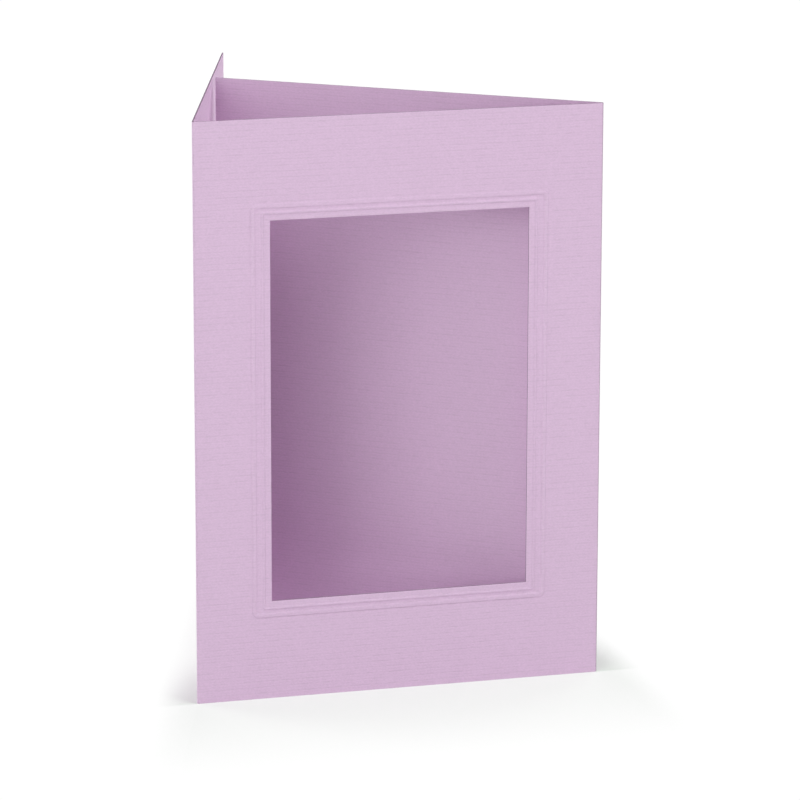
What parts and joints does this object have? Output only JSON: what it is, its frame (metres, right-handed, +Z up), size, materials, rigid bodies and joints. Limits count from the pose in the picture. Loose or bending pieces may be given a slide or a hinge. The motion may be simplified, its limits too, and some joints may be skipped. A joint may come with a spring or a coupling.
{
  "type": "passe-partout card",
  "caption": "Standing folded card with a rectangular picture window in its front, framed by embossed beads, and a closing flap behind.",
  "frame": {"origin": "on the surface that the card stands on, under the middle of its box", "axes": "+X to the right along the front panel, -Y out of the front panel's face, +Z up the card's height"},
  "size_m": [0.12, 0.114, 0.169],
  "materials": {
    "card_stock": "matt laid paper, lilac"
  },
  "bodies": {
    "root": {"folded_card": "card_stock"}
  },
  "joints": []
}
